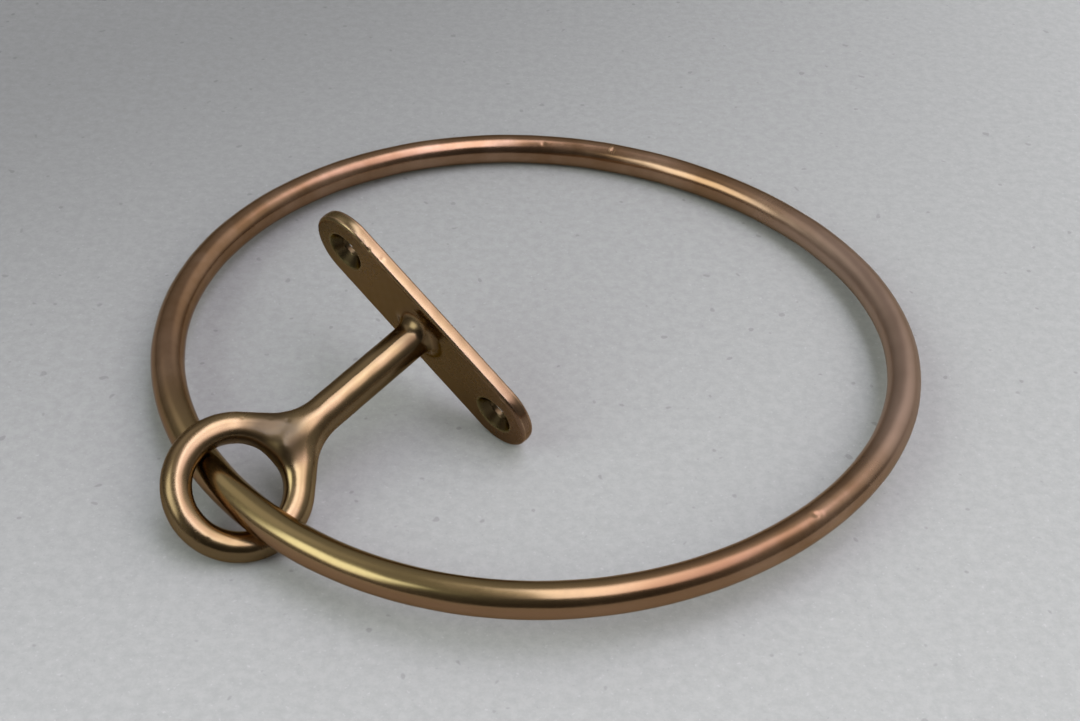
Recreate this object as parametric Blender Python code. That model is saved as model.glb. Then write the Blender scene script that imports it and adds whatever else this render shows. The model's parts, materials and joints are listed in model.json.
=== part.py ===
"""Cast bronze eye bracket with a captive hoop, lying the way it settles on a bench.

The bracket is one casting: a screw plate, a round stem and an eye. The hoop is a round bar that
passes through the eye, bent to a circle and closed with a brazed seam. Metres, +Z up. The bench is
the plane Z = 0, and the origin is under the middle of the hoop.
"""

import math

import bmesh
import bpy
import numpy as np
from mathutils import Matrix, Vector

MM = 0.001
TAU = 2 * math.pi

# Hoop
HOOP_RADIUS = 78.0 * MM
BAR_RADIUS = 3.5 * MM
THREE_LOBE_SWELL = 0.75 * MM
THREE_LOBE_ANGLE = math.radians(8)
FOUR_LOBE_SWELL = 0.30 * MM
HOOP_TILT = math.radians(-2.6)
SEAM_ANGLE = math.radians(77.5)
SEAM_WIDTH = 1.8 * MM
GAP = 0.3 * MM

# Eye
EYE_RADIUS = 11.75 * MM
EYE_BAR_RADIUS = 3.0 * MM

# Stem, measured from the eye's centre to the plate's front face
STEM_LENGTH = 49.0 * MM
STEM_RADIUS = 3.8 * MM
SHOULDER_END = 20.0 * MM
ROOT_FILLET = 2.2 * MM

# Screw plate
PLATE_HALF_LENGTH = 30.7 * MM
PLATE_HALF_WIDTH = 8.8 * MM
PLATE_THICKNESS = 3.0 * MM
FRONT_BEVEL = 0.45 * MM
BACK_BEVEL = 0.25 * MM
CROWN = 0.08 * MM
SCREW_SPACING = 44.7 * MM
SCREW_HOLE_RADIUS = 2.6 * MM
COUNTERSINK_RADIUS = 4.5 * MM

# How the bracket lies: the eye's place on the bench and the stem's direction from there
EYE_PLACE = Vector((-54.9 * MM, -52.6 * MM))
STEM_HEADING = math.radians(48.9)
STEM_RISE = math.radians(12.2)
PLATE_ROLL = math.radians(122.7)

# The stretch of the hoop that lies in the eye, as angles round the hoop
PASS_ANGLE = math.radians(223.75)
PASS_HALF_ANGLE = math.radians(6.75)

# Facets
HOOP_STEPS = 120
BAR_SIDES = 16
EYE_STEPS = 48
STEM_SIDES = 24
SHOULDER_STEPS = 8
FILLET_STEPS = 5
PLATE_ARC_STEPS = 16
HOLE_SIDES = 32
SMOOTH_ANGLE = math.radians(35)


def clear_scene():
    for old in list(bpy.data.objects):
        bpy.data.objects.remove(old, do_unlink=True)


def bronze(name, colour, roughness):
    material = bpy.data.materials.new(name)
    material.use_nodes = True
    shader = material.node_tree.nodes["Principled BSDF"]
    shader.inputs["Base Color"].default_value = (*colour, 1.0)
    shader.inputs["Roughness"].default_value = roughness
    shader.inputs["Metallic"].default_value = 1.0
    return material


def skin(name, rings, closed=False):
    """One solid through a row of rings of points, capped at both ends unless the row closes on itself."""
    mesh = bpy.data.meshes.new(name)
    bm = bmesh.new()
    loops = [[bm.verts.new(point) for point in ring] for ring in rings]
    sides = len(loops[0])
    for k in range(len(loops) if closed else len(loops) - 1):
        near, far = loops[k], loops[(k + 1) % len(loops)]
        for i in range(sides):
            j = (i + 1) % sides
            bm.faces.new((near[i], near[j], far[j], far[i]))
    if not closed:
        bm.faces.new(loops[0])
        bm.faces.new(loops[-1])
    bmesh.ops.recalc_face_normals(bm, faces=bm.faces)
    bm.to_mesh(mesh)
    bm.free()
    mesh.shade_smooth()
    mesh.set_sharp_from_angle(angle=SMOOTH_ANGLE)
    solid = bpy.data.objects.new(name, mesh)
    bpy.context.scene.collection.objects.link(solid)
    return solid


def empty(name, matrix):
    marker = bpy.data.objects.new(name, None)
    marker.matrix_world = matrix
    bpy.context.scene.collection.objects.link(marker)
    return marker


def combine(target, other, operation):
    """Joins other to target or cuts it away. The other solid stays as a hidden guide."""
    modifier = target.modifiers.new(other.name, "BOOLEAN")
    modifier.operation = operation
    modifier.solver = "EXACT"
    modifier.object = other
    other.hide_render = True
    other.display_type = "WIRE"


def circle(centre, across, up, radius, sides):
    """A ring of points round centre, in the plane of the unit vectors across and up."""
    angles = [TAU * k / sides for k in range(sides)]
    return [centre + radius * (math.cos(a) * across + math.sin(a) * up) for a in angles]


# ---- hoop ------------------------------------------------------------------------------------


def hoop_point(angle):
    """The bar's centre line, round but for the slow swells that bending by hand leaves."""
    swell = THREE_LOBE_SWELL * math.cos(3 * (angle - THREE_LOBE_ANGLE))
    swell += FOUR_LOBE_SWELL * math.cos(4 * angle)
    radius = HOOP_RADIUS + swell
    return Vector((radius * math.cos(angle), radius * math.sin(angle), 0.0))


def hoop_tangent(angle):
    step = 1e-4
    return (hoop_point(angle + step) - hoop_point(angle - step)).normalized()


def bar_rings(start, end, steps):
    up = Vector((0.0, 0.0, 1.0))
    rings = []
    for k in range(steps + 1):
        angle = start + (end - start) * k / steps
        across = up.cross(hoop_tangent(angle))
        rings.append(circle(hoop_point(angle), across, up, BAR_RADIUS, BAR_SIDES))
    return rings


def hoop_placement():
    """Tilts the hoop and lifts it until its lowest point touches the bench, centred over the origin."""
    tilt = Matrix.Rotation(HOOP_TILT, 4, "X")
    points = np.array([tilt @ hoop_point(TAU * k / 720) for k in range(720)])
    middle = (points.min(0) + points.max(0)) / 2
    height = BAR_RADIUS - points[:, 2].min()
    return Matrix.Translation((-middle[0], -middle[1], height)) @ tilt


def pivot_placement(placement):
    """A frame on the line that the hoop swings about: its X runs along the bar where it lies in the eye."""
    first = placement @ hoop_point(PASS_ANGLE - PASS_HALF_ANGLE)
    second = placement @ hoop_point(PASS_ANGLE + PASS_HALF_ANGLE)
    along = (second - first).to_track_quat("X", "Z").to_matrix().to_4x4()
    return Matrix.Translation((first + second) / 2) @ along


def make_hoop():
    placement = hoop_placement()
    pivot = empty("hoop_pivot", pivot_placement(placement))
    half_seam = SEAM_WIDTH / 2 / HOOP_RADIUS
    half_break = (SEAM_WIDTH / 2 + GAP) / HOOP_RADIUS
    bar_start = SEAM_ANGLE + half_break
    bar_end = SEAM_ANGLE - half_break + TAU
    bar = skin("hoop_bar", bar_rings(bar_start, bar_end, HOOP_STEPS))
    seam = skin("braze_seam", bar_rings(SEAM_ANGLE - half_seam, SEAM_ANGLE + half_seam, 2))
    bar.data.materials.append(bronze("hoop bronze", (0.36, 0.19, 0.12), 0.34))
    seam.data.materials.append(bronze("braze", (0.62, 0.46, 0.22), 0.30))
    for piece in (bar, seam):
        piece.parent = pivot
        piece.matrix_local = pivot.matrix_world.inverted() @ placement
    return placement


# ---- bracket, in its own frame: X along the stem, Y along the eye's hole, Z along the plate ---


def eye_rings():
    side = Vector((0.0, 1.0, 0.0))
    rings = []
    for k in range(EYE_STEPS):
        angle = TAU * k / EYE_STEPS
        out = Vector((math.cos(angle), 0.0, math.sin(angle)))
        rings.append(circle(EYE_RADIUS * out, out, side, EYE_BAR_RADIUS, BAR_SIDES))
    return rings


def stem_section(x, half_width, half_depth):
    """A slot-shaped ring across the stem, as wide along Z as the shoulder needs."""
    flat = half_width - half_depth
    ring = []
    for k in range(STEM_SIDES):
        angle = TAU * (k + 0.5) / STEM_SIDES
        z = half_depth * math.cos(angle)
        y = half_depth * math.sin(angle)
        ring.append(Vector((x, y, z + math.copysign(flat, z))))
    return ring


def shoulder_ring(share):
    """The stem widens into the eye: it leaves the eye along the eye's rim and ends as the plain stem."""
    outside = EYE_RADIUS + EYE_BAR_RADIUS
    rim_width = math.sqrt(outside**2 - EYE_RADIUS**2)
    length = SHOULDER_END - EYE_RADIUS
    rim_slope = -EYE_RADIUS / rim_width * length
    t = share
    width = (2 * t**3 - 3 * t**2 + 1) * rim_width + (t**3 - 2 * t**2 + t) * rim_slope
    width += (3 * t**2 - 2 * t**3) * STEM_RADIUS
    ease = t * t * (3 - 2 * t)
    depth = EYE_BAR_RADIUS + (STEM_RADIUS - EYE_BAR_RADIUS) * ease
    return stem_section(EYE_RADIUS + length * t, width, depth)


def stem_rings():
    rings = [shoulder_ring(k / SHOULDER_STEPS) for k in range(SHOULDER_STEPS + 1)]
    fillet_start = STEM_LENGTH - ROOT_FILLET
    for k in range(FILLET_STEPS + 1):
        turn = math.pi / 2 * k / FILLET_STEPS
        x = fillet_start + ROOT_FILLET * math.sin(turn)
        radius = STEM_RADIUS + ROOT_FILLET * (1 - math.cos(turn))
        rings.append(stem_section(x, radius, radius))
    root = STEM_RADIUS + ROOT_FILLET
    rings.append(stem_section(STEM_LENGTH + PLATE_THICKNESS / 2, root, root))
    return rings


def plate_outline(depth, inset):
    """The plate's outline at a depth behind its front face: straight sides and full round ends."""
    radius = PLATE_HALF_WIDTH - inset
    straight = PLATE_HALF_LENGTH - PLATE_HALF_WIDTH
    ring = []
    for end in (1, -1):
        for k in range(PLATE_ARC_STEPS + 1):
            angle = math.pi * k / PLATE_ARC_STEPS
            y = end * radius * math.cos(angle)
            z = end * (straight + radius * math.sin(angle))
            ring.append(Vector((STEM_LENGTH + depth, y, z)))
    return ring


def plate_rings():
    return [
        plate_outline(0.0, FRONT_BEVEL),
        plate_outline(FRONT_BEVEL, CROWN),
        plate_outline(PLATE_THICKNESS / 2, 0.0),
        plate_outline(PLATE_THICKNESS - BACK_BEVEL, CROWN),
        plate_outline(PLATE_THICKNESS, BACK_BEVEL + CROWN),
    ]


def screw_hole_rings(z):
    """A right-angled countersink that opens on the plate's front face, and a plain bore behind it."""
    front = STEM_LENGTH
    lead = 1.0 * MM
    cone = COUNTERSINK_RADIUS - SCREW_HOLE_RADIUS
    profile = [
        (front - lead, COUNTERSINK_RADIUS + lead),
        (front + cone, SCREW_HOLE_RADIUS),
        (front + PLATE_THICKNESS + lead, SCREW_HOLE_RADIUS),
    ]
    across = Vector((0.0, 1.0, 0.0))
    up = Vector((0.0, 0.0, 1.0))
    return [circle(Vector((x, 0.0, z)), across, up, radius, HOLE_SIDES) for x, radius in profile]


def bracket_placement(shift):
    """Turns the bracket as it lies and lifts it until the eye touches the bench."""
    turn = Matrix.Rotation(STEM_HEADING, 3, "Z")
    turn = turn @ Matrix.Rotation(-STEM_RISE, 3, "Y") @ Matrix.Rotation(PLATE_ROLL, 3, "X")
    hole_upright = (turn @ Vector((0.0, 1.0, 0.0))).z
    height = EYE_BAR_RADIUS + EYE_RADIUS * math.sqrt(1 - hole_upright**2)
    place = Vector((EYE_PLACE.x + shift.x, EYE_PLACE.y + shift.y, height))
    return Matrix.Translation(place) @ turn.to_4x4()


def make_bracket(hoop_frame):
    bracket = skin("eye_bracket", plate_rings())
    stem = skin("stem_guide", stem_rings())
    eye = skin("eye_guide", eye_rings(), closed=True)
    combine(bracket, stem, "UNION")
    combine(bracket, eye, "UNION")
    for end in (1, -1):
        cutter = skin(f"screw_hole_cutter_{end}", screw_hole_rings(end * SCREW_SPACING / 2))
        combine(bracket, cutter, "DIFFERENCE")
    bracket.data.materials.append(bronze("bracket bronze", (0.42, 0.27, 0.13), 0.32))
    placement = bracket_placement(hoop_frame.to_translation())
    frame = empty("bracket_frame", placement)
    for piece in [bracket] + [m.object for m in bracket.modifiers]:
        piece.parent = frame


clear_scene()
make_bracket(make_hoop())
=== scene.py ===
"""Looks of a bronze eye bracket and its captive hoop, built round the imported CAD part.

The casting gets a fine skin from a distance formula: eye, web, stem, root fillet, screw plate and
countersinks. The hoop gets a fine bar with its small hand-made faults and a brazed seam. Both wear
aged, satin-polished bronze.
"""

import json
import math

import bpy
import numpy as np
from mathutils import Matrix, Vector


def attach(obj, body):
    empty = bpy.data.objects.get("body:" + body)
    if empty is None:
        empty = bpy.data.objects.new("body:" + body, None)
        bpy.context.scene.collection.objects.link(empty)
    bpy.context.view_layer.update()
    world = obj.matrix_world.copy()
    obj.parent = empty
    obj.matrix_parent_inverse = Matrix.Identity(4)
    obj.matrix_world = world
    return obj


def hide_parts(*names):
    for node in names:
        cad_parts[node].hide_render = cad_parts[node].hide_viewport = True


MM = 0.001
TAU = 2 * math.pi

# Casting, in millimetres, but the crest's width and the parting line's angle and width are in degrees,
# and the groove's flare is per millimetre. measure_casting() takes the main sizes from the CAD casting.
WEB_ANGLE = math.radians(42)
WEB_FILLET = 3.2
WEB_END = 5.0
WEB_CREST_SHIFT = 1.5
WEB_CREST_WIDTH = 42.0
WEB_RIDGE_WIDTH = 2.8
CREST_SOFTNESS = 0.20
HOLE_POWER = 3.0
ROOT_FILLET = 2.2
ROOT_SPREAD = 1.2
FRONT_EDGE_ROUND = 0.6
BACK_EDGE_ROUND = 0.45
SIDE_CROWN = 0.26
SCREW_SPACING = 44.7
BORE_RADIUS = 2.6
COUNTERSINK_RADIUS = 4.45
COUNTERSINK_LEAD = 1.0
RIM_ROUND = 0.12
PARTING_RIDGE = 0.07
PARTING_ANGLE = 22.0
PARTING_WIDTH = 7.0
HAND_FINISH = 0.016
GROOVE_FLARE = 0.002
GROOVE_ROUND = 0.40
NET_STEP = 0.25
SLOPE_STEP = 0.02

# Small dents of the casting: place along the stem, along the hole, along the plate; width; depth
DINGS = (
    (49.6, 8.3, -20.6, 0.55, 0.10),
    (49.5, 8.5, -18.4, 0.40, 0.08),
    (50.2, 8.8, -15.2, 0.50, 0.07),
    (44.2, 2.6, -2.9, 0.45, 0.10),
    (13.1, 2.9, -5.8, 0.50, 0.06),
    (15.0, 3.1, -3.4, 0.60, 0.05),
    (8.8, 2.7, -9.2, 0.45, 0.05),
    (-11.9, 2.9, 4.2, 0.50, 0.05),
)

# How far from the skin a corner or an edge is felt when it is painted, in millimetres: corners get tarnish and
# painted shade, edges get wear
RECESS_REACH = 3.5
EDGE_REACH = 0.9
COUNTERSINK_SKIN = 0.15

# Zones that find the casting's axes: the plate's thickness, and the length of the eye's end
PLATE_ZONE = 1.6 * MM
EYE_ZONE = 20.0 * MM

# Hoop: steps round it, round its bar and across its seam; the seam's sizes are in millimetres
HOOP_STEPS = 1080
BAR_SIDES = 72
SEAM_HALF_WIDTH = 1.2825
SEAM_STEPS = 25
SEAM_SINK = 0.04

# Marks on the hoop: degrees round the hoop, round the bar; length and width in degrees; depth
HOOP_MARKS = (
    (314.5, 74, 0.40, 10, 0.22),
    (315.4, 62, 0.25, 12, 0.10),
    (77.2, 108, 0.40, 12, 0.16),
    (90.3, 126, 0.30, 8, 0.08),
)

# Camera: where a person leaning over the bench holds it
CAMERA_PLACE = Vector((0.000669, -0.284865, 0.242465))
CAMERA_DOWN = math.radians(40.333)
CAMERA_ROLL = math.radians(2.9005)
CAMERA_LENS = 57.32

# Light: radiance of the room low down and overhead, of its panels, and of the overhead lamp
ROOM_RADIANCE = (0.16, 0.40)
LEFT_PANEL = (3.0, 3.4, 3.4)
RIGHT_PANEL = (2.0, 1.75, 2.15)
RIGHT_BRIM = (2.0, 2.3, 3.0)
OVERHEAD_RADIANCE = 3.0

# Directions in the room: azimuth clockwise from +Y and elevation, in degrees
LEFT_PANEL_MIDDLE = (-120, 38)
RIGHT_PANEL_FRONT = (155, 52)
RIGHT_PANEL_FAR = (10, 65)
VIEWER = (168, 28)
FAR_RIGHT_GLOW = (48, 34)
FAR_LEFT_GLOW = (-55, 48)

# Overhead lamp, in metres
OVERHEAD_PLACE = Vector((0.32, -0.42, 0.40))
OVERHEAD_SIZE = 0.45

# Bench: half its side in metres, and how its painted light falloff drifts along X, along Y and along both: painted
# shade towards the far left, painted light towards the near right
BENCH_HALF = 3.0
BENCH_PAINTED_FALLOFF = (0.85, -1.35, 9.0)

# Patina colours, and the dark browns that carry painted shade
CLEAN_BRONZE = (0.43, 0.275, 0.165, 1.0)
OLIVE_BRONZE = (0.27, 0.190, 0.078, 1.0)
FLAT_PATINA = (0.175, 0.100, 0.038, 1.0)
# Web: partly patina in its hollow, partly painted shade that dims the light the web mirrors
WEB_PATINA_AND_SHADE = (0.085, 0.060, 0.028, 1.0)
# Painted shade: a dark brown laid on the eye's sides, its hole and the stem's sides so the mirrored light stays a
# narrow band
FLANK_PAINTED_SHADE = (0.155, 0.098, 0.042, 1.0)
MAUVE_PATINA = (0.17, 0.090, 0.055, 1.0)
GREEN_PATINA = (0.17, 0.120, 0.052, 1.0)
HOLE_PATINA = (0.20, 0.165, 0.060, 1.0)
# Dark brown laid in corners, countersinks and at the stem's root: partly tarnish, partly painted shade
DARK_TARNISH_AND_SHADE = (0.045, 0.026, 0.017, 1.0)
BROWN_PATINA = (0.25, 0.134, 0.062, 1.0)
ROSE_PATINA = (0.37, 0.228, 0.140, 1.0)
HAZE_PATINA = (0.40, 0.285, 0.22, 1.0)
PALE_BRAZE = (0.30, 0.19, 0.095, 1.0)
DARK_BRAZE = (0.24, 0.14, 0.065, 1.0)
EDGE_TINT = (0.62, 0.48, 0.34, 1.0)

# Bench colours
BENCH_GREYS = (0.345, 0.347, 0.322, 1.0), (0.400, 0.402, 0.373, 1.0)
PALE_GRAIN = (0.55, 0.545, 0.53, 1.0)
DARK_GRAIN = (0.26, 0.255, 0.245, 1.0)
DARK_SPECK = (0.20, 0.195, 0.185, 1.0)

# Where the casting's finishes and its painted shade (stem root, web) start and end, in metres in its frame: along
# the stem, from the middle of the web, and along the plate
PLATE_STARTS = (0.0478, 0.0488)
FACE_ENDS = (0.0494, 0.0491)
# Where the stem's root is darkened as painted shade, along the stem
ROOT_PAINTED_SHADE = (0.0405, 0.0450)
WEB_MIDDLE = (0.0110, 0.0035, -0.0028)
# Where the web's patina and painted shade fade out, in metres from the middle of the web
WEB_SHADE_PATCH = (0.0082, 0.0034)
PLATE_ENDS = (0.014, 0.028)
PLATE_HALVES = (-0.002, 0.002)

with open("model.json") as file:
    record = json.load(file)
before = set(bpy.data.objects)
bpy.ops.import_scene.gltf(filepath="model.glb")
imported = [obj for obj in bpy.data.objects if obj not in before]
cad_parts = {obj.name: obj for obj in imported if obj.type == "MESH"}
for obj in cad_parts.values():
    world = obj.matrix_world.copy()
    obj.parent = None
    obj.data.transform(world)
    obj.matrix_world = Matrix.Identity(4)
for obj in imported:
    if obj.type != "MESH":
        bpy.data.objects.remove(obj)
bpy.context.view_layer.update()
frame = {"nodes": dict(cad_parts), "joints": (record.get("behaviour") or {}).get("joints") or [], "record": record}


# ---- the frame's geometry --------------------------------------------------------------------


def node_points(node):
    """The vertices of a CAD node, in metres."""
    return np.array([v.co for v in frame["nodes"][node].data.vertices], float)


def main_axis(points):
    """The direction in which the points spread most."""
    spread = np.cov((points - points.mean(0)).T)
    return np.linalg.eigh(spread)[1][:, -1]


def casting_matrix():
    """The casting's frame: X from the eye's centre to the plate, Y along the hole, Z along the plate."""
    mount = frame["record"]["mounts"][0]
    stem = np.array(mount["axis"]) / np.linalg.norm(mount["axis"])
    back = np.array(mount["pos_m"])
    points = node_points("eye_bracket") - back
    along = points @ stem
    plate = points[along > -PLATE_ZONE]
    plate_long = main_axis(plate - np.outer(plate @ stem, stem))
    plate_long *= -math.copysign(1.0, plate_long[2])
    hole = np.cross(plate_long, stem)
    eye_end = points[along < along.min() + EYE_ZONE]
    eye_outer = np.abs(eye_end @ plate_long).max()
    centre = back + stem * (along.min() + eye_outer)
    turn = Matrix(np.array([stem, hole, plate_long]).T.tolist()).to_4x4()
    return Matrix.Translation(Vector(centre)) @ turn


def measure_casting(matrix):
    """The main sizes of the CAD casting, in millimetres."""
    turn = np.array(matrix.to_3x3())
    local = (node_points("eye_bracket") - np.array(matrix.translation)) @ turn / MM
    x, y, z = local.T
    rim = -x.min()
    eye_bar = np.abs(y[x < 0]).max()
    front = x[np.abs(z) > rim + eye_bar].min()
    shaft = (x > rim + WEB_END) & (x < front - ROOT_FILLET)
    return {
        "rim": rim,
        "eye_bar": eye_bar,
        "stem": np.hypot(y, z)[shaft].min(),
        "front": front,
        "back": x.max(),
        "half_length": np.abs(z).max(),
        "half_width": np.abs(y).max(),
    }


def measure_hinge(matrix):
    """The line that the hoop turns about and the bar's radius, in millimetres in the casting's frame."""
    joint = frame["joints"][0]
    turn = np.array(matrix.to_3x3())
    place = (np.array(joint["pos_m"]) - np.array(matrix.translation)) @ turn / MM
    axis = np.array(joint["axis"]) @ turn
    hoop, _ = hoop_matrix()
    across = (node_points("hoop_bar") - np.array(hoop.translation)) @ np.array(hoop.to_3x3())[:, 2]
    return {
        "hinge_place": place,
        "hinge_axis": axis / np.linalg.norm(axis),
        "bar": np.abs(across).max() / MM,
    }


def hoop_matrix():
    """The hoop's frame and swell: X to the right in the hoop's plane, Z along its axis, origin amid it."""
    points = node_points("hoop_bar")
    middle = points.mean(0)
    axis = np.linalg.eigh(np.cov((points - middle).T))[1][:, 0]
    axis *= math.copysign(1.0, axis[2])
    right = np.array([1.0, 0.0, 0.0]) - axis[0] * axis
    right /= np.linalg.norm(right)
    forward = np.cross(axis, right)
    x, y = (points - middle) @ right, (points - middle) @ forward
    waves = hoop_waves(x, y)
    centre = middle + waves[1] * right + waves[2] * forward
    turn = Matrix(np.array([right, forward, axis]).T.tolist()).to_4x4()
    x, y = x - waves[1], y - waves[2]
    return Matrix.Translation(Vector(centre)) @ turn, hoop_waves(x, y)


def wave_terms(angle):
    """Radius, shift along X and Y, and the three- and four-lobed swells left by bending."""
    terms = [np.ones_like(angle), np.cos(angle), np.sin(angle)]
    for lobes in (3, 4):
        terms += [np.cos(lobes * angle), np.sin(lobes * angle)]
    return np.stack(terms, 1)


def hoop_waves(x, y):
    """The swell of the bar's centre line, fitted to points spread evenly round the bar."""
    return np.linalg.lstsq(wave_terms(np.arctan2(y, x)), np.hypot(x, y), rcond=None)[0]


# ---- the casting's shape ---------------------------------------------------------------------


def ease(value, start, end):
    """0 before start, 1 after end, smooth between."""
    share = np.clip((value - start) / (end - start), 0, 1)
    return share * share * (3 - 2 * share)


def soft_union(a, b, blend):
    """Joins two shapes with a smooth transition where they differ by less than blend."""
    share = np.clip(0.5 + 0.5 * (b - a) / blend, 0, 1)
    return b + (a - b) * share - blend * share * (1 - share)


def round_union(a, b, radius):
    """Joins two shapes and fills the corner between them to a round of this radius."""
    corner = np.hypot(np.maximum(radius - a, 0), np.maximum(radius - b, 0))
    return np.maximum(radius, np.minimum(a, b)) - corner


def eye_outline(x, z, size):
    """The outline of eye, web and stem in the plane of the eye: the web's sides narrow to the stem."""
    sine, cosine = math.sin(WEB_ANGLE), math.cos(WEB_ANGLE)
    drawn_out = x * cosine > z * sine
    rim = np.where(drawn_out, x * sine + z * cosine, np.hypot(x, z)) - size["rim"]
    eye_radius = size["rim"] - size["eye_bar"]
    stem = np.hypot(np.minimum(x - eye_radius, 0), z) - size["stem"]
    return soft_union(rim, stem, WEB_FILLET)


def half_depth_at(x, z, size):
    """Half the casting's thickness along the eye's hole: it grows to the stem's, first along a ridge."""
    in_web = 1 - ease(x, size["rim"], size["rim"] + WEB_END)
    ridge = 1 - in_web * (1 - np.exp(-((z / WEB_RIDGE_WIDTH) ** 2)))
    growth = ease(x, size["rim"] - 8, size["rim"] - 3) * ridge
    return size["eye_bar"] + (size["stem"] - size["eye_bar"]) * growth


def eye_and_stem(x, y, z, size):
    """A round eye whose rim is drawn out into a web that narrows to the stem."""
    z = np.abs(z)
    radial = np.hypot(x, z)
    eye_radius = size["rim"] - size["eye_bar"]
    half_depth = half_depth_at(x, z, size)
    off_stem = np.degrees(np.arctan2(z, x)) / WEB_CREST_WIDTH
    shift = WEB_CREST_SHIFT * np.exp(-(off_stem**2))
    inside = (eye_radius + shift - radial) * half_depth / (half_depth + shift)
    outside = eye_outline(x, z, size) + half_depth
    squarer_by_the_web = ease(inside - outside, 0.0, 1.5) * ease(x, -9, 4)
    power = 2 + (HOLE_POWER - 2) * squarer_by_the_web
    in_web = 1 - ease(x, size["rim"], size["rim"] + WEB_END)
    crest = np.hypot(np.maximum(np.maximum(outside, inside), 0), CREST_SOFTNESS * in_web)
    return (crest**power + np.abs(y) ** power) ** (1 / power) - half_depth


def parting_ridge(x, y, z, size):
    """A faint line along the stem where the halves of the mould met."""
    off_ridge = np.degrees(np.arctan2(-z, y)) - PARTING_ANGLE
    starts = ease(x, size["rim"] + 4, size["rim"] + 9)
    ends = ease(x, size["front"] - 6, size["front"] - 3)
    return PARTING_RIDGE * np.exp(-((off_ridge / PARTING_WIDTH) ** 2)) * starts * (1 - ends)


def screw_plate(x, y, z, size):
    """A flat plate with full round ends, rounded edges and slightly crowned sides."""
    middle = (size["front"] + size["back"]) / 2
    half_thick = (size["back"] - size["front"]) / 2
    straight = size["half_length"] - size["half_width"]
    crown = SIDE_CROWN * (1 - ((x - middle) / half_thick) ** 2)
    edge = np.where(x < middle, FRONT_EDGE_ROUND, BACK_EDGE_ROUND)
    side = np.hypot(y, np.maximum(np.abs(z) - straight, 0)) - size["half_width"] + SIDE_CROWN - crown + edge
    face = np.abs(x - middle) - half_thick + edge
    outside = np.hypot(np.maximum(side, 0), np.maximum(face, 0))
    return outside + np.minimum(np.maximum(side, face), 0) - edge


def screw_hole(x, y, z, size):
    """Distance to a right-angled countersink and its bore, the same at both ends of the plate."""
    radial = np.hypot(y, np.abs(z) - SCREW_SPACING / 2)
    cone = (radial - COUNTERSINK_RADIUS + x - size["front"]) * math.sqrt(0.5)
    before_plate = size["front"] - COUNTERSINK_LEAD - x
    return np.maximum(np.minimum(cone, radial - BORE_RADIUS), before_plate)


def hand_finish(x, y, z):
    """Slow unevenness left by filing and polishing."""
    waves = np.sin(0.9 * x + 0.4 * z + 0.7) * np.cos(0.55 * z - 0.3 * y)
    waves += 0.6 * np.sin(1.7 * z + 0.5 * x) * np.cos(1.3 * y + 0.6 * x + 1.1)
    return HAND_FINISH * waves


def dings(x, y, z):
    """Depth of the small dents that handling left."""
    total = np.zeros_like(x)
    for cx, cy, cz, width, depth in DINGS:
        total += depth * np.exp(-((x - cx) ** 2 + (y - cy) ** 2 + (z - cz) ** 2) / width**2)
    return total


def worn_groove(points, size):
    """Distance to the shallow groove that the turning hoop has worn in the eye. It flares to its ends."""
    away = points - size["hinge_place"]
    along = away @ size["hinge_axis"]
    radial = np.sqrt(np.maximum((away**2).sum(-1) - along**2, 0))
    return radial - size["bar"] - GROOVE_FLARE * along**2


def casting_distance(points, size):
    """Signed distance from points, in millimetres in the casting's frame, to its surface."""
    x, y, z = points[..., 0], points[..., 1], points[..., 2]
    towards_upper_side = ease(y - z, -2, 6)
    fillet = ROOT_FILLET + ROOT_SPREAD * towards_upper_side
    solid = round_union(eye_and_stem(x, y, z, size), screw_plate(x, y, z, size), fillet)
    beyond_back = x - size["back"]
    solid = np.maximum(solid, beyond_back)
    hole = -screw_hole(x, y, z, size)
    solid = -soft_union(-solid, -hole, RIM_ROUND)
    solid = -soft_union(-solid, worn_groove(points, size), GROOVE_ROUND)
    return solid + hand_finish(x, y, z) + dings(x, y, z) - parting_ridge(x, y, z, size)


def distance_slope(points, size):
    """Distance and its gradient at points."""
    slope = np.zeros_like(points)
    for axis in range(3):
        shift = np.zeros(3)
        shift[axis] = SLOPE_STEP
        ahead = casting_distance(points + shift, size)
        behind = casting_distance(points - shift, size)
        slope[:, axis] = (ahead - behind) / (2 * SLOPE_STEP)
    return casting_distance(points, size), slope


def surface_net(values, low, step):
    """A quad mesh round the region where values on a grid are negative: a vertex in each crossed cell."""
    cells = np.array(values.shape) - 1
    flat_size = int(np.prod(cells))
    total = np.zeros((3, flat_size))
    count = np.zeros(flat_size)
    quads = []
    for axis in range(3):
        near = np.take(values, range(values.shape[axis] - 1), axis)
        far = np.take(values, range(1, values.shape[axis]), axis)
        crossed = (near < 0) != (far < 0)
        index = np.stack(np.nonzero(crossed), 1)
        start, end = near[crossed], far[crossed]
        place = index.astype(float)
        place[:, axis] += start / (start - end)
        one, two = (axis + 1) % 3, (axis + 2) % 3
        corners = []
        for back_one, back_two in ((0, 0), (1, 0), (1, 1), (0, 1)):
            cell = index.copy()
            cell[:, one] -= back_one
            cell[:, two] -= back_two
            flat = np.ravel_multi_index(cell.T, cells)
            for k in range(3):
                total[k] += np.bincount(flat, place[:, k], flat_size)
            count += np.bincount(flat, minlength=flat_size)
            corners.append(flat)
        quad = np.stack(corners, 1)
        inward = start > 0
        quad[inward] = quad[inward][:, ::-1]
        quads.append(quad)
    used = np.nonzero(count)[0]
    number = np.zeros(flat_size, int)
    number[used] = np.arange(len(used))
    vertices = low + step * (total[:, used] / count[used]).T
    return vertices, number[np.concatenate(quads)]


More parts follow.
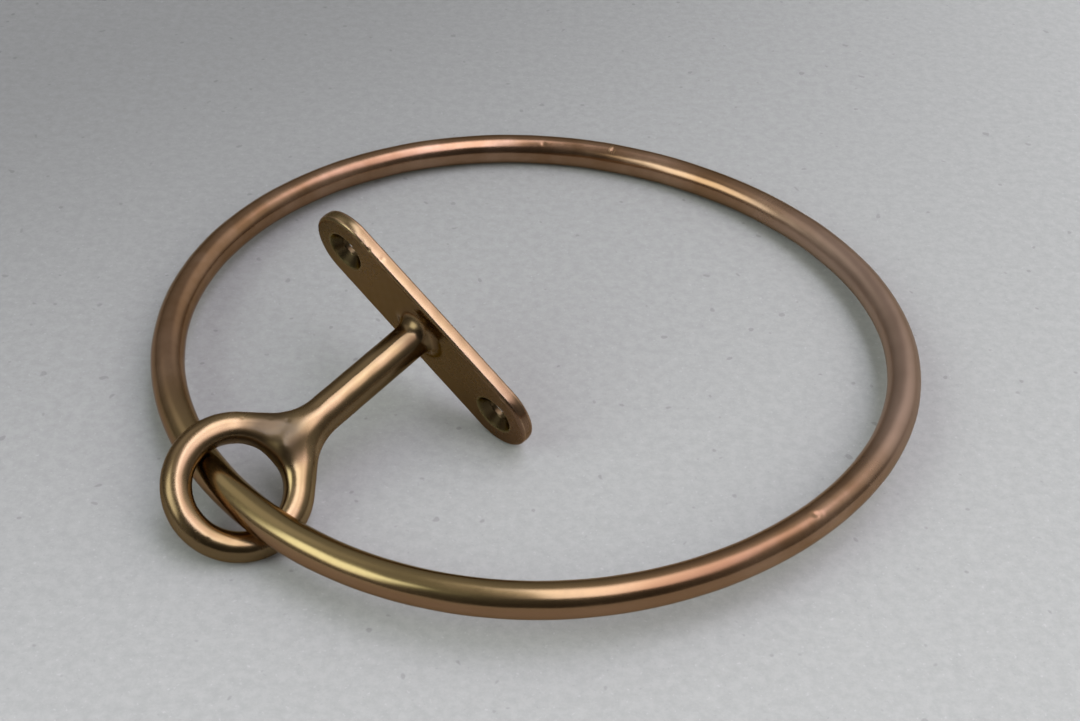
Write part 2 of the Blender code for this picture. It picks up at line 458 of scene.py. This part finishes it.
def casting_grid(size):
    """Signed distances on a grid that holds the whole casting."""
    margin = 3 * NET_STEP
    low = np.array([-size["rim"], -size["half_width"], -size["half_length"]]) - margin
    high = np.array([size["back"], size["half_width"], size["half_length"]]) + margin
    axes = [np.arange(a, b, NET_STEP) for a, b in zip(low, high)]
    slabs = []
    for x in axes[0]:
        y, z = np.meshgrid(axes[1], axes[2], indexing="ij")
        slabs.append(casting_distance(np.stack([np.full_like(y, x), y, z], -1), size))
    return np.array(slabs), low


def casting_skin(size):
    """Points on the casting's surface, the quads between them and the surface's true normals."""
    values, low = casting_grid(size)
    points, quads = surface_net(values, low, NET_STEP)
    for _ in range(3):
        distance, slope = distance_slope(points, size)
        points -= slope * (distance / np.maximum((slope**2).sum(1), 0.3))[:, None]
    slope = distance_slope(points, size)[1]
    return points, quads, slope / np.linalg.norm(slope, axis=1)[:, None]


def make_casting():
    """The casting's skin, with the values that its finish and its painted shade read: corners, edges, sides and
    holes.
    """
    matrix = casting_matrix()
    size = {**measure_casting(matrix), **measure_hinge(matrix)}
    points, quads, normals = casting_skin(size)
    casting = new_mesh("eye_bracket_fine", points * MM, quads, matrix)
    world_normals = normals @ np.array(matrix.to_3x3()).T
    casting.data.normals_split_custom_set_from_vertices(world_normals.tolist())
    # recess: how shut in a point is, read as tarnish and painted shade in the corners
    recess = 1 - casting_distance(points + RECESS_REACH * normals, size) / RECESS_REACH
    edge = 1 + casting_distance(points - EDGE_REACH * normals, size) / EDGE_REACH
    hole = np.abs(screw_hole(*points.T, size)) < COUNTERSINK_SKIN
    add_values(casting, "recess", np.clip(recess, 0, 1))
    # flank: where shade is painted on the eye's and the stem's sides
    add_values(casting, "flank", painted_shade_on_flanks(points))
    add_values(casting, "edge", np.clip(edge, 0, 1))
    add_values(casting, "countersink", hole)
    casting.data.materials.append(bracket_bronze())
    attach(casting, "bracket")
    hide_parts("eye_bracket")


def painted_shade_on_flanks(points):
    """1 where shade is painted: the eye's outer side, the upper side of its hole and the stem's sides, darkened so
    the highlight along the crest stays a narrow band.
    """
    x, _, z = points.T
    radial = np.hypot(x, z)
    outer = ease(radial, 12.3, 13.0) * (1 - ease(x, 0, 8))
    inner = (1 - ease(radial, 9.6, 11.2)) * (1 - ease(z, 2, 6))
    stem_side = np.maximum(ease(z, 0.7, 1.7), 0.85 * (1 - ease(z, -1.5, -0.3)))
    stem = ease(x, 15, 20) * (1 - ease(x, 42, 45)) * stem_side
    return np.maximum(np.maximum(outer, inner), stem)


def new_mesh(name, points, faces, matrix):
    """A smooth mesh from points in the frame of matrix. Its materials read those points as "place"."""
    turn = np.array(matrix.to_3x3())
    mesh = bpy.data.meshes.new(name)
    mesh.from_pydata((points @ turn.T + np.array(matrix.translation)).tolist(), [], faces.tolist())
    mesh.shade_smooth()
    place = mesh.attributes.new("place", "FLOAT_VECTOR", "POINT")
    place.data.foreach_set("vector", points.astype(np.float32).ravel())
    mesh.update()
    piece = bpy.data.objects.new(name, mesh)
    bpy.context.scene.collection.objects.link(piece)
    return piece


def add_values(piece, name, values):
    """Stores one number for each vertex, which the material reads by name."""
    attribute = piece.data.attributes.new(name, "FLOAT", "POINT")
    attribute.data.foreach_set("value", np.asarray(values, np.float32))


# ---- the hoop --------------------------------------------------------------------------------


def bar_relief(angle, section):
    """How far the bar's skin stands from a true round, in millimetres: slow file waves and the marks."""
    relief = 0.020 * np.sin(23 * angle + 1.3 * np.cos(section + 0.4)) * np.cos(section - 0.8)
    relief += 0.014 * np.sin(41 * angle + 2.1) * np.sin(2 * section + 9 * angle)
    relief += 0.020 * np.cos(2 * section + 3 * angle + 0.5)
    for at_angle, at_section, length, width, depth in HOOP_MARKS:
        along = turned(np.degrees(angle) - at_angle) / length
        around = turned(np.degrees(section) - at_section) / width
        relief -= depth * np.exp(-(along**2) - around**2)
    return relief


def turned(degrees):
    """The same turn between -180 and 180 degrees."""
    return (degrees + 180) % 360 - 180


def sweep(name, angles, relief, waves, bar_radius, matrix, closed):
    """A bar swept along the hoop's centre line through the given angles."""
    section = np.linspace(0, TAU, BAR_SIDES, endpoint=False)
    angle, around = np.meshgrid(angles, section, indexing="ij")
    step = 1e-4
    centre = centre_line(angles, waves)
    tangent = centre_line(angles + step, waves) - centre_line(angles - step, waves)
    tangent /= np.linalg.norm(tangent, axis=1)[:, None]
    outward = np.stack([tangent[:, 1], -tangent[:, 0], 0 * angles], 1)
    radius = bar_radius + relief(angle, around) * MM
    points = centre[:, None] + (radius * np.cos(around))[..., None] * outward[:, None]
    points[..., 2] += radius * np.sin(around)
    number = np.arange(angle.size).reshape(angle.shape)
    ahead = np.roll(number, -1, 0) if closed else number[1:]
    here = number if closed else number[:-1]
    faces = np.stack([here, np.roll(here, -1, 1), np.roll(ahead, -1, 1), ahead], -1).reshape(-1, 4)
    piece = new_mesh(name, points.reshape(-1, 3), faces[:, ::-1], matrix)
    wear_bar(piece, np.degrees(angle).ravel() % 360, np.degrees(around).ravel())
    return piece


def wear_bar(piece, round_hoop, round_bar):
    """Where the bar is rubbed by the eye, where hands have kept it brown and where it has hazed over."""
    topside = ease(round_bar, 5, 50) * (1 - ease(round_bar, 125, 165))
    near_eye = ease(round_hoop, 190, 220)
    rubbed = near_eye * (1 - ease(round_hoop, 256, 300))
    handled = near_eye * (1 - ease(round_hoop, 285, 320))
    hazy = np.maximum(ease(round_hoop, 318, 345), 1 - ease(round_hoop, 20, 60))
    add_values(piece, "rubbed", rubbed * topside)
    add_values(piece, "handled", handled)
    add_values(piece, "hazy", hazy)


def centre_line(angles, waves):
    """Points on the bar's centre line, in the hoop's frame."""
    radius = wave_terms(angles) @ waves
    return np.stack([radius * np.cos(angles), radius * np.sin(angles), 0 * angles], 1)


def make_hoop():
    """The bar all the way round, and over it the brazed seam where its ends meet."""
    matrix, waves = hoop_matrix()
    turn, origin = np.array(matrix.to_3x3()), np.array(matrix.translation)
    bar_radius = np.abs(((node_points("hoop_bar") - origin) @ turn)[:, 2]).max()
    seam_middle = ((node_points("braze_seam") - origin) @ turn).mean(0)
    seam_angle = math.atan2(seam_middle[1], seam_middle[0])
    seam_half = SEAM_HALF_WIDTH * MM / waves[0]

    def seam_relief(angle, section):
        """The filler lies at the bar's skin inside its wavy edge, and sinks below it outside."""
        edge = 0.72 + 0.16 * np.sin(3 * section + 1) + 0.08 * np.sin(7 * section)
        away = np.abs(angle - seam_angle) / seam_half
        return bar_relief(angle, section) - SEAM_SINK * ease(away, edge - 0.22, edge + 0.1)

    round_angles = np.linspace(0, TAU, HOOP_STEPS, endpoint=False)
    seam_angles = seam_angle + np.linspace(-seam_half, seam_half, SEAM_STEPS)
    bar = sweep("hoop_bar_fine", round_angles, bar_relief, waves, bar_radius, matrix, closed=True)
    seam = sweep("braze_seam_fine", seam_angles, seam_relief, waves, bar_radius, matrix, closed=False)
    for piece, node, slot, material in (
        (bar, "hoop_bar", "hoop_bronze", hoop_bronze()),
        (seam, "braze_seam", "braze", braze()),
    ):
        piece.data.materials.append(material)
        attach(piece, "hoop")
        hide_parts(node)


# ---- materials -------------------------------------------------------------------------------


class Graph:
    """Small helper that builds a node tree by calling functions on sockets and numbers."""

    def __init__(self, tree):
        self.tree = tree
        tree.nodes.clear()

    def node(self, kind, inputs=None, **settings):
        made = self.tree.nodes.new(kind)
        for name, value in settings.items():
            setattr(made, name, value)
        for name, value in (inputs or {}).items():
            self.put(made.inputs[name], value)
        return made

    def put(self, socket, value):
        """Links a socket to another socket, or sets it to a number or a colour."""
        if isinstance(value, bpy.types.NodeSocket):
            self.tree.links.new(value, socket)
        else:
            socket.default_value = value

    def math(self, operation, a, b=0.0):
        return self.node("ShaderNodeMath", {0: a, 1: b}, operation=operation).outputs[0]

    def vector_math(self, operation, a, b):
        return self.node("ShaderNodeVectorMath", {0: a, 1: b}, operation=operation).outputs["Value"]

    def parts(self, vector):
        return self.node("ShaderNodeSeparateXYZ", {"Vector": vector}).outputs

    def times(self, a, b):
        return self.math("MULTIPLY", a, b)

    def plus(self, a, b):
        return self.math("ADD", a, b)

    def grey(self, value):
        inputs = {"Red": value, "Green": value, "Blue": value}
        return self.node("ShaderNodeCombineColor", inputs).outputs[0]

    def value(self, name):
        """A number that the mesh holds for each vertex."""
        return self.node("ShaderNodeAttribute", attribute_name=name).outputs["Fac"]

    def noise(self, vector, scale, detail=3.0, roughness=0.5):
        inputs = {"Vector": vector, "Scale": scale, "Detail": detail, "Roughness": roughness}
        return self.node("ShaderNodeTexNoise", inputs).outputs["Fac"]

    def stretch(self, vector, scale):
        return self.node("ShaderNodeMapping", {"Vector": vector, "Scale": scale}).outputs[0]

    def span(self, value, start, end, low=0.0, high=1.0):
        """Low where value is at start, high where it is at end, smooth between."""
        inputs = {0: value, 1: start, 2: end, 3: low, 4: high}
        return self.node("ShaderNodeMapRange", inputs, interpolation_type="SMOOTHSTEP").outputs[0]

    def mix(self, share, a, b, blend="MIX"):
        made = self.node("ShaderNodeMix", data_type="RGBA", blend_type=blend)
        self.put(made.inputs["Factor"], share)
        self.put(made.inputs["A"], a)
        self.put(made.inputs["B"], b)
        return made.outputs["Result"]

    def bump(self, height, distance, strength, before=None):
        inputs = {"Height": height, "Distance": distance, "Strength": strength}
        if before is not None:
            inputs["Normal"] = before
        return self.node("ShaderNodeBump", inputs).outputs[0]


def metal(name, lacquer):
    """A bare metal under a thin film of wax. Its nodes read each vertex's place in the piece's own frame."""
    material = bpy.data.materials.new(name)
    material.use_nodes = True
    graph = Graph(material.node_tree)
    coat = {"Coat Weight": lacquer, "Coat Roughness": 0.13}
    shader = graph.node("ShaderNodeBsdfPrincipled", {"Metallic": 1.0, "Specular Tint": EDGE_TINT, **coat})
    output = graph.node("ShaderNodeOutputMaterial")
    graph.tree.links.new(shader.outputs[0], output.inputs["Surface"])
    place = graph.node("ShaderNodeAttribute", attribute_name="place").outputs["Vector"]
    return material, graph, shader, place


def bracket_patina(graph, place, patches):
    """Bronze kept clean by hands, with browner flats and plate ends of two tones, and painted shade on the web
    (partly patina in its hollow) and on the sides.
    """
    x, _, z = graph.parts(place)
    on_plate = graph.span(x, *PLATE_STARTS)
    on_face = graph.times(on_plate, graph.span(x, *FACE_ENDS))
    on_web_shade = graph.span(graph.vector_math("DISTANCE", place, WEB_MIDDLE), *WEB_SHADE_PATCH)
    at_ends = graph.times(on_plate, graph.span(graph.math("ABSOLUTE", z), *PLATE_ENDS))
    end_colour = graph.mix(graph.span(z, *PLATE_HALVES), GREEN_PATINA, MAUVE_PATINA)
    worn = graph.times(graph.span(graph.value("edge"), 0.03, 0.12, 0.0, 0.8), on_plate)
    colour = graph.mix(graph.span(patches, 0.35, 0.7, 0.1, 0.5), OLIVE_BRONZE, CLEAN_BRONZE)
    colour = graph.mix(graph.times(on_face, 0.9), colour, FLAT_PATINA)
    # Dark web: partly patina, partly painted shade
    colour = graph.mix(graph.times(on_web_shade, 0.92), colour, WEB_PATINA_AND_SHADE)
    colour = graph.mix(graph.times(at_ends, 0.75), colour, end_colour)
    # Painted shade on the eye's and the stem's sides
    colour = graph.mix(graph.times(graph.value("flank"), 0.85), colour, FLANK_PAINTED_SHADE)
    colour = graph.mix(worn, colour, CLEAN_BRONZE)
    colour = graph.mix(graph.times(graph.value("countersink"), 0.9), colour, HOLE_PATINA)
    return colour, on_plate, on_web_shade


def bracket_tarnish_and_shade(graph, place, fine, on_plate):
    """How dark the metal is painted in its corners, in the countersinks and at the stem's root: partly tarnish,
    partly painted shade.
    """
    corners = graph.plus(graph.value("recess"), graph.times(fine, 0.10))
    corners = graph.span(corners, 0.10, 0.55, 0.0, 0.8)
    holes = graph.times(graph.value("countersink"), 0.25)
    x = graph.parts(place)["X"]
    root = graph.times(graph.span(x, *ROOT_PAINTED_SHADE, 0.0, 0.55), graph.span(on_plate, 0.8, 0.0))
    return graph.math("MAXIMUM", graph.math("MAXIMUM", corners, holes), root)


def bracket_bronze():
    """Cast bronze: polished where hands rub it, brown on its flats, and dark in its corners from tarnish and
    painted shade.
    """
    material, graph, shader, place = metal("bracket bronze", 0.25)
    patches = graph.noise(place, 70.0, 4.0, 0.6)
    fine = graph.noise(place, 900.0, 3.0, 0.6)
    patina, on_plate, on_web_shade = bracket_patina(graph, place, patches)
    tarnish_and_shade = bracket_tarnish_and_shade(graph, place, fine, on_plate)
    # Tarnish and painted shade darken the corners, the countersinks and the stem's root
    graph.put(shader.inputs["Base Color"], graph.mix(tarnish_and_shade, patina, DARK_TARNISH_AND_SHADE))
    graph.put(shader.inputs["Coat Weight"], graph.span(tarnish_and_shade, 0.2, 0.6, 0.25, 0.0))
    rough = graph.plus(graph.span(fine, 0.3, 0.7, 0.0, 0.03), graph.span(patches, 0.3, 0.7, 0.20, 0.27))
    graph.put(shader.inputs["Roughness"], graph.plus(rough, graph.times(on_web_shade, 0.12)))
    scratches = graph.noise(graph.stretch(place, (0.10, 1.0, 1.0)), 2500.0, 2.0)
    normal = graph.bump(scratches, 0.00001, 0.20)
    graph.put(shader.inputs["Normal"], graph.bump(fine, 0.00001, 0.10, normal))
    return material


def hoop_bronze():
    """Drawn bronze bar with a rose-brown patina, rubbed olive where it runs through the eye."""
    material, graph, shader, place = metal("hoop bronze", 0.35)
    patches = graph.noise(place, 55.0, 4.0, 0.6)
    fine = graph.noise(place, 1100.0, 3.0, 0.6)
    hazy = graph.value("hazy")
    unhandled = graph.span(graph.value("handled"), 0.0, 1.0, 1.0, 0.15)
    rose = graph.times(graph.span(patches, 0.35, 0.7), unhandled)
    colour = graph.mix(rose, BROWN_PATINA, ROSE_PATINA)
    colour = graph.mix(graph.value("rubbed"), colour, OLIVE_BRONZE)
    colour = graph.mix(graph.times(hazy, 0.7), colour, HAZE_PATINA)
    graph.put(shader.inputs["Base Color"], colour)
    rough = graph.plus(graph.span(fine, 0.3, 0.7, 0.0, 0.03), graph.span(patches, 0.3, 0.7, 0.18, 0.24))
    graph.put(shader.inputs["Roughness"], graph.plus(rough, graph.times(hazy, 0.16)))
    graph.put(shader.inputs["Normal"], graph.bump(fine, 0.00002, 0.08))
    return material


def braze():
    """Paler yellow filler metal, filed flush by hand."""
    material, graph, shader, place = metal("braze", 0.35)
    fine = graph.noise(place, 1500.0, 3.0, 0.6)
    colour = graph.mix(graph.span(fine, 0.3, 0.7), PALE_BRAZE, DARK_BRAZE)
    graph.put(shader.inputs["Base Color"], colour)
    graph.put(shader.inputs["Roughness"], 0.28)
    graph.put(shader.inputs["Normal"], graph.bump(fine, 0.00003, 0.3))
    return material


def bench_stone():
    """Pale grey composite with a fine speckle, with painted shade that darkens it towards the far left and painted
    light that brightens it towards the near right, in place of the light's falloff.
    """
    material = bpy.data.materials.new("bench")
    material.use_nodes = True
    graph = Graph(material.node_tree)
    shader = graph.node("ShaderNodeBsdfPrincipled", {"Roughness": 0.55, "Specular IOR Level": 0.3})
    output = graph.node("ShaderNodeOutputMaterial")
    graph.tree.links.new(shader.outputs[0], output.inputs["Surface"])
    place = graph.node("ShaderNodeTexCoord").outputs["Object"]
    coarse = graph.noise(place, 420.0, 5.0, 0.75)
    fine = graph.noise(place, 1000.0, 2.0, 0.6)
    specks = graph.noise(place, 300.0, 1.0, 0.5)
    colour = graph.mix(graph.span(coarse, 0.3, 0.7), *BENCH_GREYS)
    colour = graph.mix(graph.span(fine, 0.62, 0.75, 0.0, 0.35), colour, PALE_GRAIN)
    colour = graph.mix(graph.span(fine, 0.36, 0.24, 0.0, 0.35), colour, DARK_GRAIN)
    colour = graph.mix(graph.span(specks, 0.72, 0.77, 0.0, 0.45), colour, DARK_SPECK)
    # Painted light falloff: the bench's colour is scaled darker towards the far left and brighter towards the near
    # right.
    x, y, _ = graph.parts(place)
    along_x, along_y, along_both = BENCH_PAINTED_FALLOFF
    drift = graph.times(x, graph.plus(graph.times(y, along_both), along_x))
    drift = graph.plus(drift, graph.times(y, along_y))
    painted_falloff = graph.span(graph.plus(drift, 1.0), 0.55, 1.45, 0.62, 1.30)
    colour = graph.mix(1.0, colour, graph.grey(painted_falloff), "MULTIPLY")
    graph.put(shader.inputs["Base Color"], colour)
    return material


# ---- bench, light and camera -----------------------------------------------------------------


def make_bench():
    """The flat bench that the fitting lies on."""
    mesh = bpy.data.meshes.new("bench")
    corners = [(x * BENCH_HALF, y * BENCH_HALF, 0) for x, y in ((-1, -1), (1, -1), (1, 1), (-1, 1))]
    mesh.from_pydata(corners, [], [(0, 1, 2, 3)])
    bench = bpy.data.objects.new("bench", mesh)
    mesh.materials.append(bench_stone())
    bpy.context.scene.collection.objects.link(bench)


def direction(azimuth, elevation):
    """Unit vector for an azimuth clockwise from +Y and an elevation, in degrees."""
    a, e = math.radians(azimuth), math.radians(elevation)
    return Vector((math.sin(a) * math.cos(e), math.cos(a) * math.cos(e), math.sin(e)))


def make_overhead_panel():
    """The soft light that falls on the bench. The metal mirrors the room's panels instead of it."""
    light = bpy.data.lights.new("overhead_panel", "AREA")
    light.size = OVERHEAD_SIZE
    light.energy = math.pi * light.size**2 * OVERHEAD_RADIANCE
    lamp = bpy.data.objects.new("overhead_panel", light)
    lamp.location = OVERHEAD_PLACE
    lamp.rotation_mode = "QUATERNION"
    lamp.rotation_quaternion = (-OVERHEAD_PLACE).to_track_quat("-Z", "Y")
    lamp.visible_glossy = False
    bpy.context.scene.collection.objects.link(lamp)


def left_panel_share(graph, towards):
    """How much of the soft panel on the left is seen in a direction."""
    middle = direction(*LEFT_PANEL_MIDDLE)
    level = Vector((0, 0, 1)).cross(middle).normalized()
    across = graph.math("ABSOLUTE", towards(level))
    rise = graph.math("ABSOLUTE", towards(middle.cross(level)))
    panel = graph.times(graph.span(across, 0.40, 0.18), graph.span(rise, 0.38, 0.17))
    return graph.times(panel, graph.span(towards(middle), 0.0, 0.2))


def right_panel_shares(graph, towards):
    """How much is seen of the big panel overhead and to the right, and of the bright brim along it."""
    front, far = direction(*RIGHT_PANEL_FRONT), direction(*RIGHT_PANEL_FAR)
    along = towards((far - front).normalized())
    reach = towards(far.cross(front).normalized())
    up = towards(Vector((0, 0, 1)))
    ends = graph.times(graph.span(along, -0.53, -0.40), graph.span(along, 0.62, 0.25))
    near_edge = graph.times(ends, graph.span(reach, -0.16, -0.09))
    panel = graph.times(near_edge, graph.span(up, 0.54, 0.80))
    whole = graph.times(panel, graph.span(reach, 0.78, 0.25))
    brim = graph.times(panel, graph.span(reach, 0.26, 0.0))
    return whole, brim


def room_grey(graph, towards):
    """The room itself: brighter overhead, dark where the viewer stands, with two faint far glows."""
    ambient = graph.span(towards(Vector((0, 0, 1))), -0.1, 0.9, *ROOM_RADIANCE)
    unshaded = graph.span(towards(direction(*VIEWER)), 0.55, 0.95, 1.0, 0.25)
    far_right = graph.span(towards(direction(*FAR_RIGHT_GLOW)), 0.80, 0.97, 0.0, 0.45)
    far_left = graph.span(towards(direction(*FAR_LEFT_GLOW)), 0.92, 0.99, 0.0, 0.42)
    return graph.grey(graph.plus(graph.times(ambient, unshaded), graph.plus(far_right, far_left)))


def make_room():
    """The room that the metal mirrors: dim, with a panel on the left and one overhead to the right."""
    world = bpy.data.worlds.new("room")
    world.use_nodes = True
    graph = Graph(world.node_tree)
    look = graph.node("ShaderNodeTexCoord").outputs["Generated"]

    def towards(axis):
        return graph.vector_math("DOT_PRODUCT", look, axis)

    whole, brim = right_panel_shares(graph, towards)
    seen = room_grey(graph, towards)
    for radiance, share in (
        (LEFT_PANEL, left_panel_share(graph, towards)),
        (RIGHT_PANEL, whole),
        (RIGHT_BRIM, brim),
    ):
        glow = graph.mix(share, (0.0, 0.0, 0.0, 1.0), (*radiance, 1.0))
        seen = graph.mix(1.0, seen, glow, "ADD")
    background = graph.node("ShaderNodeBackground", {"Color": seen, "Strength": 1.0})
    output = graph.node("ShaderNodeOutputWorld")
    graph.tree.links.new(background.outputs[0], output.inputs["Surface"])
    bpy.context.scene.world = world


def make_camera():
    """The camera looks down at the fitting, slightly rolled."""
    camera = bpy.data.objects.new("camera", bpy.data.cameras.new("camera"))
    camera.data.lens = CAMERA_LENS
    camera.data.clip_start = 0.01
    level_right = Vector((1.0, 0.0, 0.0))
    level_up = Vector((0.0, math.sin(CAMERA_DOWN), math.cos(CAMERA_DOWN)))
    away = Vector((0.0, -math.cos(CAMERA_DOWN), math.sin(CAMERA_DOWN)))
    right = math.cos(CAMERA_ROLL) * level_right + math.sin(CAMERA_ROLL) * level_up
    up = math.cos(CAMERA_ROLL) * level_up - math.sin(CAMERA_ROLL) * level_right
    turn = Matrix((right, up, away)).transposed().to_4x4()
    camera.matrix_world = Matrix.Translation(CAMERA_PLACE) @ turn
    bpy.context.scene.collection.objects.link(camera)
    bpy.context.scene.camera = camera


make_casting()
make_hoop()
make_bench()
make_overhead_panel()
make_room()
make_camera()
bpy.context.scene.view_settings.view_transform = "Standard"
